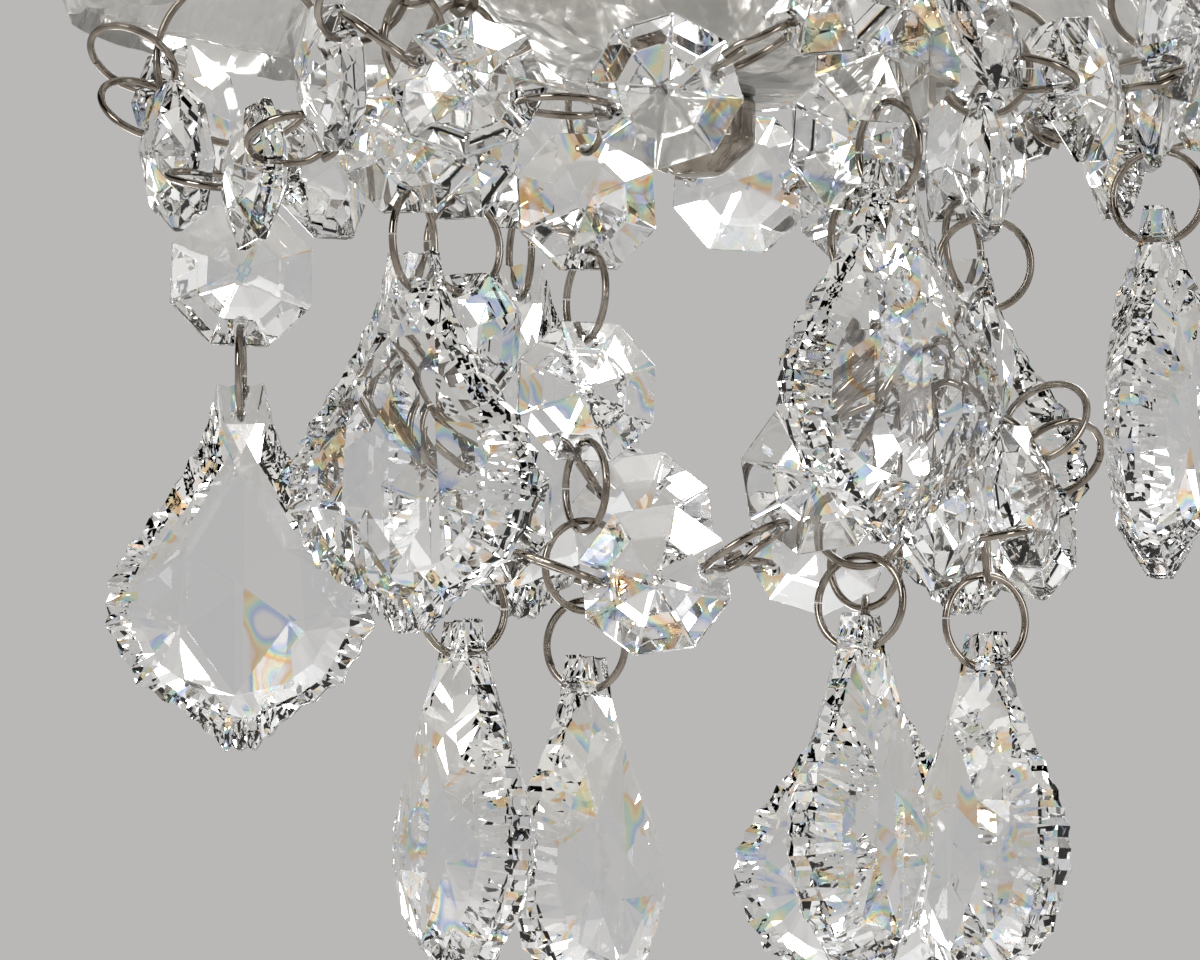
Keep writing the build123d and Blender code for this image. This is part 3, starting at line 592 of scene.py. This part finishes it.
class CHANDELIER_OT_pendalogues(bpy.types.Operator):
    """Cut pendalogues: notched outline, rows of facets that rise to a kite in the middle"""
    bl_idname = "chandelier.pendalogues"
    bl_label = "Pendalogues"

    OUTLINE = [(0.17, 0.0), (0.26, 0.13), (0.49, 0.28), (0.83, 0.44), (0.98, 0.54),
               (1.0, 0.66), (0.76, 0.82), (0.37, 0.91), (0.11, 1.0)]
    KITE = [(0.0, 0.24), (0.36, 0.46), (0.4, 0.66), (0.0, 0.86), (-0.4, 0.66), (-0.36, 0.46)]
    NOTCHES = 4

    def border(self, scale_x, scale_z, notch):
        """Closed outline in mm, each side cut into small steps; every other point steps in by the notch."""
        sizes = bpy.context.scene.chandelier_glass
        side = [(x * sizes.drop_width / 2, -y * sizes.drop_height) for x, y in self.OUTLINE]
        corners = side + [(-x, z) for x, z in side[::-1]]
        middle = -0.58 * sizes.drop_height
        points = []
        for (x0, z0), (x1, z1) in zip(corners, corners[1:] + corners[:1]):
            for k in range(self.NOTCHES):
                x, z = x0 + (x1 - x0) * k / self.NOTCHES, z0 + (z1 - z0) * k / self.NOTCHES
                inward = Vector((-x, middle - z)).normalized() * (notch if k % 2 else 0)
                points.append(((x + inward.x) * scale_x, (z + inward.y - middle) * scale_z + middle))
        return points

    def kite_corner(self, x, z):
        """The kite corner, in mm, that a border point's facet runs to."""
        sizes = bpy.context.scene.chandelier_glass
        corners = [(kx * sizes.drop_width / 2, -kz * sizes.drop_height) for kx, kz in self.KITE]
        return min(corners, key=lambda c: math.hypot(c[0] - x, c[1] - z))

    def model(self):
        outer, band = self.border(1, 1, 0.42), self.border(0.74, 0.8, 0)
        deselect()
        bpy.ops.mesh.primitive_circle_add(vertices=len(outer), radius=0.01, fill_type="NGON",
                                          rotation=(math.pi / 2, 0, 0))
        drop = bpy.context.object
        bpy.ops.object.transform_apply(rotation=True)
        for vertex, (x, z) in zip(drop.data.vertices, outer):
            vertex.co = (x * MM, 0, z * MM)
        edit(drop)
        bpy.ops.mesh.select_all(action="SELECT")
        bpy.ops.mesh.extrude_region_move(TRANSFORM_OT_translate={"value": (0, 2.0 * MM, 0)})
        bpy.ops.mesh.select_all(action="SELECT")
        bpy.ops.transform.translate(value=(0, -1.0 * MM, 0))
        bpy.ops.mesh.normals_make_consistent(inside=False)
        for way in (1, -1):
            # the notched band rises to a smooth inner line, then long facets run to the kite
            for level in (3.1, 4.55):
                select_faces(drop, lambda face: face.normal.y * way > 0.95 and len(face.verts) > 20)
                bpy.ops.mesh.extrude_region_move(TRANSFORM_OT_translate={"value": (0, way * MM, 0)})
                mesh = bmesh.from_edit_mesh(drop.data)
                face = max((f for f in mesh.faces if f.select), key=lambda f: len(f.verts))
                for vertex in face.verts:
                    x, z = vertex.co.x / MM, vertex.co.z / MM
                    if level < 4:
                        x, z = min(zip(outer, band), key=lambda pair: math.hypot(pair[0][0] - x, pair[0][1] - z))[1]
                    else:
                        x, z = self.kite_corner(x, z)
                    thickness = min(max((-z - 4) / 9, 0), 1)  # the neck round the hole stays thin
                    rise = level if level > 4 else 2.0 + (level - 2.0) * thickness
                    vertex.co = Vector((x, way * rise, z)) * MM
                bmesh.update_edit_mesh(drop.data)
            mesh = bmesh.from_edit_mesh(drop.data)
            for vertex in mesh.verts:
                vertex.select = vertex.co.y * way > 4.4 * MM
            mesh.select_flush_mode()
            bmesh.update_edit_mesh(drop.data)
            bpy.ops.mesh.remove_doubles(threshold=0.01 * MM)
            select_faces(drop, lambda face: all(v.co.y * way > 4.4 * MM for v in face.verts))
            bpy.ops.mesh.poke(offset=0.4 * MM)
        bpy.ops.object.mode_set(mode="OBJECT")
        deselect()
        bpy.ops.mesh.primitive_cylinder_add(vertices=20, radius=0.85 * MM, depth=14 * MM,
                                            rotation=(math.pi / 2, 0, 0), location=(0, 0, -3.6 * MM))
        drill = bpy.context.object
        cut = drop.modifiers.new("hole", "BOOLEAN")
        cut.operation, cut.object, cut.solver = "DIFFERENCE", drill, "EXACT"
        apply_modifiers(drop)
        drop_model(drill)
        finish_model(drop, 0)
        drop.data.transform(Matrix.Translation((0, 0, 3.6 * MM)))
        return drop

    def execute(self, context):
        drop = self.model()
        for node in DROP_NODES:
            joint = JOINTS[body_of(node)]
            spot = frame_matrix(Vector(joint["pos_m"]), Vector(joint["axis"]), Vector((0, 0, 1)))
            set_down(drop, [spot], "cut_" + node, body_of(node), "cut_crystal", [node])
        drop_model(drop)
        return {"FINISHED"}


class CHANDELIER_OT_petal_dish(bpy.types.Operator):
    """Six-lobed pressed-glass dish with flutes and a thick scalloped rim"""
    bl_idname = "chandelier.petal_dish"
    bl_label = "Petal dish"

    UNDERSIDE = [(4.4, -14.0), (12.0, -14.0), (17.0, -12.4), (22.0, -9.5), (28.5, -3.3), (35.0, 3.0), (41.0, 5.9),
                 (47.5, 7.0), (54.0, 6.3), (59.5, 4.0), (63.3, -0.6), (65.5, -5.0)]

    def execute(self, context):
        look = context.scene.chandelier_glass
        fine = []
        for (r0, z0), (r1, z1) in zip(self.UNDERSIDE, self.UNDERSIDE[1:]):
            fine += [(r0 + (r1 - r0) * k / 3, z0 + (z1 - z0) * k / 3) for k in range(3)]
        fine.append(self.UNDERSIDE[-1])
        outline = fine + [(66.1, -3.6), (66.2, -2.2)] + [(r, z + 3) for r, z in fine[::-1]]
        dish = turned_piece("dish_model", outline, 288, 0)
        for vertex in dish.data.vertices:
            x, y, z = [c / MM for c in vertex.co]
            r = math.hypot(x, y)
            turn = math.degrees(math.atan2(x, -y)) - 23
            share = max((r - 12) / 53.5, 0) ** 2
            lobe = abs(math.cos(math.radians(3 * turn)))
            flute = abs(math.sin(math.radians(look.flutes / 2 * turn)))
            new_r = r - 8.0 * share * (1 - lobe) - look.flute_depth * min(share * 2, 1) * flute * 0.8
            new_z = RIM_Z + z - 2.0 * share * (1 - lobe) - look.flute_depth * min(share * 1.6, 1) * flute * 0.5
            vertex.co = Vector((x / max(r, 0.01) * new_r, y / max(r, 0.01) * new_r, new_z)) * MM
        deselect()
        dish.select_set(True)
        context.view_layer.objects.active = dish
        bpy.ops.object.shade_smooth_by_angle(angle=math.radians(50))
        set_down(dish, [Matrix.Identity(4)], "pressed_petal_dish", "frame", "pressed_glass", ["petal_dish"])
        drop_model(dish)
        return {"FINISHED"}


class CHANDELIER_OT_glass_column(bpy.types.Operator):
    """Fluted glass balusters, twisted glass arms and the three dishes at their ends"""
    bl_idname = "chandelier.glass_column"
    bl_label = "Glass column and arms"

    def baluster(self, name, top, height, width, shares, node):
        outer = [(r * width, top - s * height) for r, s in shares]
        smooth = []
        for i in range(len(outer) - 1):
            a = outer[max(i - 1, 0)]
            b, c = outer[i], outer[i + 1]
            d = outer[min(i + 2, len(outer) - 1)]
            for k in range(5):
                t = k / 5
                smooth.append(tuple(
                    0.5 * (2 * b[j] + (c[j] - a[j]) * t + (2 * a[j] - 5 * b[j] + 4 * c[j] - d[j]) * t ** 2
                           + (3 * b[j] - a[j] - 3 * c[j] + d[j]) * t ** 3) for j in (0, 1)))
        smooth.append(outer[-1])
        piece = turned_piece(name, smooth + [(4.4, outer[-1][1]), (4.4, outer[0][1])], 96, 0)
        for vertex in piece.data.vertices:
            r = math.hypot(vertex.co.x, vertex.co.y)
            if r > 5 * MM:
                flute = 1 - 0.05 * abs(math.sin(6 * math.atan2(vertex.co.x, vertex.co.y)))
                vertex.co.x *= flute
                vertex.co.y *= flute
        deselect()
        piece.select_set(True)
        bpy.context.view_layer.objects.active = piece
        bpy.ops.object.shade_smooth_by_angle(angle=math.radians(35))
        set_down(piece, [Matrix.Identity(4)], "blown_" + node, "frame", "pressed_glass", [node])
        drop_model(piece)

    def arm(self):
        """Twisted arm along the arm's own curve, in the plane of -Y."""
        deselect()
        bpy.ops.curve.primitive_bezier_circle_add(radius=4.0 * MM)
        profile = bpy.context.object
        spline = profile.data.splines[0]
        bpy.ops.object.mode_set(mode="EDIT")
        bpy.ops.curve.select_all(action="SELECT")
        bpy.ops.curve.subdivide(number_cuts=3)
        bpy.ops.object.mode_set(mode="OBJECT")
        spline = profile.data.splines[0]
        for i, point in enumerate(spline.bezier_points):
            scale = 1.14 if i % 2 == 0 else 0.94
            middle = point.co.copy()
            for part in ("handle_left", "handle_right"):
                setattr(point, part + "_type", "FREE")
            point.co = middle * scale
            point.handle_left = point.co + (point.handle_left - middle) * 0.8
            point.handle_right = point.co + (point.handle_right - middle) * 0.8
        profile.data.resolution_u = 4
        bpy.ops.curve.primitive_bezier_curve_add()
        path = bpy.context.object
        first, last = path.data.splines[0].bezier_points
        spots = [Vector((0, -r, HUB_Z + z)) * MM for r, z in ((12, 0), (59.4, -38), (108, -38), (108, 12))]
        for point in (first, last):
            point.handle_left_type = point.handle_right_type = "FREE"
        first.co, first.handle_right, first.handle_left = spots[0], spots[1], spots[0] * 2 - spots[1]
        last.co, last.handle_left, last.handle_right = spots[3], spots[2], spots[3] * 2 - spots[2]
        first.tilt, last.tilt = 0, 5 * math.pi
        path.data.resolution_u = 64
        path.data.bevel_mode = "OBJECT"
        path.data.bevel_object = profile
        path.data.use_fill_caps = True
        deselect()
        path.select_set(True)
        bpy.context.view_layer.objects.active = path
        bpy.ops.object.convert(target="MESH")
        arm = bpy.context.object
        bpy.data.objects.remove(profile)
        finish_model(arm, 45)
        return arm

    def execute(self, context):
        self.baluster("upper_model", -131.4, 46, 44, [(0.22, 0), (0.3, 0.08), (0.2, 0.16), (0.42, 0.36), (0.5, 0.55),
                                                      (0.36, 0.8), (0.24, 1)], "upper_baluster")
        self.baluster("lower_model", -197.4, 36, 30, [(0.34, 0), (0.24, 0.12), (0.42, 0.34), (0.5, 0.55), (0.4, 0.8),
                                                      (0.3, 1)], "lower_baluster")
        arm = self.arm()
        turns = [Matrix.Rotation(math.radians(120 * i), 4, "Z") for i in range(3)]
        for i, turn in enumerate(turns):
            node = f"arm_{i + 1}"
            set_down(arm, [turn], "twisted_" + node, "frame", "pressed_glass", [node])
        drop_model(arm)
        outline = [(0, 0), (11.4, 0), (20.8, 2.7), (26, 9), (23.4, 9), (20.3, 5.3), (12.5, 2.6), (0, 2.6)]
        dish = turned_piece("arm_dish_model", rounded_outline(outline, 1.0), 120, 0)
        for vertex in dish.data.vertices:
            r = math.hypot(vertex.co.x, vertex.co.y)
            if r > 14 * MM:
                notch = 1 - 0.05 * abs(math.sin(6 * math.atan2(vertex.co.x, vertex.co.y))) * (r / MM - 14) / 12
                vertex.co.x *= notch
                vertex.co.y *= notch
        deselect()
        dish.select_set(True)
        context.view_layer.objects.active = dish
        bpy.ops.object.shade_smooth_by_angle(angle=math.radians(40))
        raised = [turn @ Matrix.Translation((0, -108 * MM, ARM_END_Z * MM)) for turn in turns]
        set_down(dish, raised, "pressed_arm_dishes", "frame", "pressed_glass", ["arm_dishes"])
        drop_model(dish)
        return {"FINISHED"}


class CHANDELIER_OT_candles(bpy.types.Operator):
    """White candle sleeves with a soft lip, lamp holders and flame-shaped bulbs"""
    bl_idname = "chandelier.candles"
    bl_label = "Candles"

    def execute(self, context):
        turns = [Matrix.Rotation(math.radians(120 * i), 4, "Z") for i in range(3)]
        raised = [turn @ Matrix.Translation((0, -108 * MM, ARM_END_Z * MM)) for turn in turns]
        tube = [(11, 2.6), (11, 56.6), (9.8, 56.6), (9.8, 2.6)]
        holder = [(0, 2.6), (8, 2.6), (8, 40), (7.2, 40), (7.2, 46.6), (0, 46.6)]
        bulb = [(0, 46.6), (6, 46.6), (6, 55.8), (7.6, 59), (9.4, 63.5), (10, 66.5), (9.4, 71), (7.9, 77), (5.4, 83),
                (2.8, 88), (1.2, 91), (0, 92.6)]
        rows = [("card_candle_sleeves", rounded_outline(tube, 0.4), "candle_white", "candle_sleeves"),
                ("moulded_lamp_holders", rounded_outline(holder, 0.4), "holder_plastic", "lamp_holders"),
                ("frosted_bulbs", bulb, "bulb_glass", "bulbs")]
        for name, outline, slot, node in rows:
            model = turned_piece(name + "_model", outline, 48, 50)
            set_down(model, raised, name, "frame", slot, [node])
            drop_model(model)
        return {"FINISHED"}


class CHANDELIER_OT_metalwork(bpy.types.Operator):
    """Rose, eyes, chain links, cap, hub and nut in nickel, and the hidden steel parts"""
    bl_idname = "chandelier.metalwork"
    bl_label = "Metalwork"

    def wire_loop(self, mean_dia, wire, stretch=0.0):
        """Round wire loop in the YZ plane, drawn out along Z by the stretch."""
        deselect()
        bpy.ops.mesh.primitive_torus_add(major_radius=mean_dia / 2 * MM, minor_radius=wire / 2 * MM,
                                         major_segments=48, minor_segments=16, rotation=(0, math.pi / 2, 0))
        loop = bpy.context.object
        bpy.ops.object.transform_apply(rotation=True)
        if stretch:
            edit(loop)
            for side in (1, -1):
                mesh = bmesh.from_edit_mesh(loop.data)
                for vertex in mesh.verts:
                    vertex.select = vertex.co.z * side > 0.01 * MM
                mesh.select_flush_mode()
                bmesh.update_edit_mesh(loop.data)
                bpy.ops.transform.translate(value=(0, 0, side * stretch / 2 * MM))
        finish_model(loop, 60)
        return loop

    def merged(self, first, *others):
        deselect()
        for obj in (first,) + others:
            obj.select_set(True)
        bpy.context.view_layer.objects.active = first
        bpy.ops.object.join()
        return first

    def place(self, model, name, body, node):
        set_down(model, [Matrix.Identity(4)], name, body, "polished_nickel", [node])
        drop_model(model)

    def execute(self, context):
        rose = [(42, 0), (42, -3), (36.1, -8.4), (22.7, -18), (10.1, -24), (4.4, -24), (4.4, -22.6), (8.7, -22.6),
                (21.3, -16.6), (34.7, -7), (40.6, -3), (40.6, 0)]
        self.place(turned_piece("rose_model", rounded_outline(rose, 1.4, 4), 96, 35), "spun_ceiling_rose", "rose",
                   "ceiling_rose")
        eye = self.wire_loop(14, 3)
        eye.data.transform(Matrix.Translation((0, 0, -35 * MM)))
        collar = turned_piece("collar", rounded_outline([(0, 0), (4, 0), (4, -24), (6.5, -24), (5.5, -28), (0, -28)],
                                                        0.6), 48, 40)
        self.place(self.merged(eye, collar), "turned_hanging_eye", "rose", "hanging_eye")
        loop = self.wire_loop(14, 3)
        loop.data.transform(Matrix.Translation((0, 0, -107.4 * MM)))
        stem = turned_piece("stem", rounded_outline([(0, -114.4), (4.7, -114.4), (6.5, -123.4), (0, -123.4)], 0.6),
                            48, 40)
        self.place(self.merged(loop, stem), "turned_column_loop", "frame", "column_loop")
        link = self.wire_loop(12, 3, 12)
        spots = []
        for index in range(3):
            turn = math.pi / 2 if index % 2 == 0 else 0
            spots.append(Matrix.Translation((0, 0, (-50.6 - 20.6 * index) * MM)) @ Matrix.Rotation(turn, 4, "Z"))
        set_down(link, spots, "welded_chain_links", "chain", "polished_nickel", ["chain_links"])
        drop_model(link)
        cap = [(7.8, -123.4), (13, -129), (13, -131.4), (4.4, -131.4), (4.4, -123.4)]
        self.place(turned_piece("cap_model", rounded_outline(cap, 0.8), 64, 35), "spun_top_cap", "frame", "top_cap")
        hub = [(10.8, -177.4), (18, -180.4), (18, -194.4), (10.8, -197.4), (4.4, -197.4), (4.4, -177.4)]
        self.place(turned_piece("hub_model", rounded_outline(hub, 1.2), 64, 35), "turned_arm_hub", "frame", "arm_hub")
        nut = [(4.4, -236.4), (6, -236.4), (6, -241.2), (2.4, -244.4), (0, -244.4), (0, -240.4), (4.4, -240.4)]
        self.place(turned_piece("nut_model", rounded_outline(nut, 0.7), 48, 40), "turned_cap_nut", "frame", "cap_nut")
        slots = {row["node"]: row["material_slot"] for row in frame["record"]["subparts"]}
        for name, node in NODES.items():
            node.data.materials.clear()
            node.data.materials.append(material_for(slots[name]))
        return {"FINISHED"}


# ---------------------------------------------------------------- stage

class CHANDELIER_OT_stage(bpy.types.Operator):
    """Grey backdrop, pale floor, soft lamps and the camera of the photograph"""
    bl_idname = "chandelier.stage"
    bl_label = "Stage"

    def lamp(self, name, spot, aim, size, power):
        deselect()
        bpy.ops.object.light_add(type="AREA", location=[c for c in spot])
        lamp = bpy.context.object
        lamp.name = name
        lamp.data.shape = "RECTANGLE"
        lamp.data.size, lamp.data.size_y = size
        lamp.data.energy = power
        lamp.rotation_euler = (Vector(aim) - Vector(spot)).to_track_quat("-Z", "Y").to_euler()

    def floor(self, colour):
        deselect()
        bpy.ops.mesh.primitive_plane_add(size=8, location=(0, 0, -0.78))
        floor = bpy.context.object
        floor.name = "studio_floor"
        material, tree, shader = blank_material("painted_floor")
        cloud = add_node(tree, "ShaderNodeTexNoise", {"in:Scale": 1.5, "in:Detail": 2.0}, Vector=object_position(tree))
        tint = colour_steps(tree, cloud.outputs["Fac"], [(0.3, colour), (0.7, "#DEDCD9")])
        tree.links.new(tint, shader.inputs["Base Color"])
        set_sockets(shader, Roughness=0.7)
        floor.data.materials.append(material)

    def world(self, look):
        """Plain backdrop for camera, glossy and transmission rays, dimmer overhead in metal and glass."""
        world = bpy.data.worlds.new("studio")
        bpy.context.scene.world = world
        world.use_nodes = True
        tree = world.node_tree
        tree.nodes.clear()
        output = add_node(tree, "ShaderNodeOutputWorld")
        path = add_node(tree, "ShaderNodeLightPath")
        seen = add_node(tree, "ShaderNodeMath", {"operation": "MAXIMUM"}, n0=path.outputs["Is Glossy Ray"],
                        n1=path.outputs["Is Transmission Ray"])
        shown = add_node(tree, "ShaderNodeMath", {"operation": "MAXIMUM"}, n0=seen.outputs[0],
                         n1=path.outputs["Is Camera Ray"])
        direction = add_node(tree, "ShaderNodeTexCoord").outputs["Generated"]
        height = add_node(tree, "ShaderNodeSeparateXYZ", Vector=direction).outputs["Z"]
        level = add_node(tree, "ShaderNodeMapRange", {"in:1": -1.0, "in:2": 1.0}, n0=height)
        mirrored = colour_steps(tree, level.outputs["Result"], [
            (0.0, "#6E6A66"), (0.36, "#8B8885"), (0.47, look.backdrop_hex), (0.56, look.backdrop_hex),
            (0.64, look.ceiling_hex), (1.0, "#1E1A17")])
        refracted = colour_steps(tree, level.outputs["Result"], [
            (0.0, "#B9B7B5"), (0.36, "#CFCECD"), (0.47, look.backdrop_hex), (0.6, look.backdrop_hex),
            (0.7, "#D2D0CE"), (0.86, "#FBFBFA"), (1.0, "#DAD8D6")])
        by_glass = add_node(tree, "ShaderNodeMix", {"data_type": "RGBA"}, n0=path.outputs["Is Transmission Ray"],
                            n6=mirrored, n7=refracted)
        backdrop = add_node(tree, "ShaderNodeMix", {"data_type": "RGBA", "in:6": linear(look.backdrop_hex)},
                            n0=seen.outputs[0], n7=by_glass.outputs[2])
        seen_light = add_node(tree, "ShaderNodeBackground", Color=backdrop.outputs[2])
        soft_light = add_node(tree, "ShaderNodeBackground", {"in:Color": linear("#F4F3F1"), "in:Strength": 0.8})
        mix = add_node(tree, "ShaderNodeMixShader", n0=shown.outputs[0], n1=soft_light.outputs[0],
                       n2=seen_light.outputs[0])
        tree.links.new(mix.outputs[0], output.inputs["Surface"])

    def execute(self, context):
        look = context.scene.chandelier_stage
        self.floor(look.floor_hex)
        self.world(look)
        middle = (0, 0, -0.26)
        self.lamp("key_lamp", (-0.75, -0.75, 0.2), middle, (0.5, 0.5), look.key)
        self.lamp("fill_lamp", (0.95, -0.55, -0.1), middle, (0.3, 0.7), look.fill)
        self.lamp("back_lamp", (0.35, 0.85, 0.25), middle, (0.6, 0.25), look.back)
        self.lamp("low_lamp", (-0.3, 0.75, -0.6), middle, (0.35, 0.2), look.back * 0.6)
        deselect()
        bpy.ops.object.camera_add(location=(-10.05 * MM, -1130.8 * MM, -386.7 * MM),
                                  rotation=(math.radians(95.6), 0, 0))
        camera = context.object
        camera.data.sensor_width = 36.0
        camera.data.lens = 11065 / 1200 * 36
        camera.data.clip_start, camera.data.clip_end = 0.05, 20
        context.scene.camera = camera
        context.scene.view_settings.view_transform = "Standard"
        return {"FINISHED"}


class CHANDELIER_PT_panel(bpy.types.Panel):
    bl_label = "Crystal chandelier"
    bl_idname = "CHANDELIER_PT_panel"
    bl_space_type = "VIEW_3D"
    bl_region_type = "UI"
    bl_category = "Chandelier"

    def draw(self, context):
        for operator in OPERATORS:
            self.layout.operator(operator.bl_idname)
        for name in GROUPS:
            settings = getattr(context.scene, name)
            for key in settings.bl_rna.properties.keys():
                if key not in ("rna_type", "name"):
                    self.layout.prop(settings, key)


GROUPS = {"chandelier_wire": ChandelierWire, "chandelier_glass": ChandelierGlass,
          "chandelier_metal": ChandelierMetal, "chandelier_stage": ChandelierStage}
OPERATORS = [CHANDELIER_OT_metalwork, CHANDELIER_OT_glass_column, CHANDELIER_OT_candles, CHANDELIER_OT_petal_dish,
             CHANDELIER_OT_wire_rings, CHANDELIER_OT_octagon_beads, CHANDELIER_OT_pendalogues, CHANDELIER_OT_stage]
CLASSES = list(GROUPS.values()) + OPERATORS + [CHANDELIER_PT_panel]


def register():
    for cls in CLASSES:
        bpy.utils.register_class(cls)
    for name, group in GROUPS.items():
        setattr(bpy.types.Scene, name, bpy.props.PointerProperty(type=group))


def unregister():
    for name in GROUPS:
        delattr(bpy.types.Scene, name)
    for cls in reversed(CLASSES):
        bpy.utils.unregister_class(cls)


def main():
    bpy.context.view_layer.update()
    register()
    for operator in OPERATORS:
        getattr(bpy.ops.chandelier, operator.bl_idname.split(".")[1])()
    deselect()


if __name__ == "__main__":
    main()
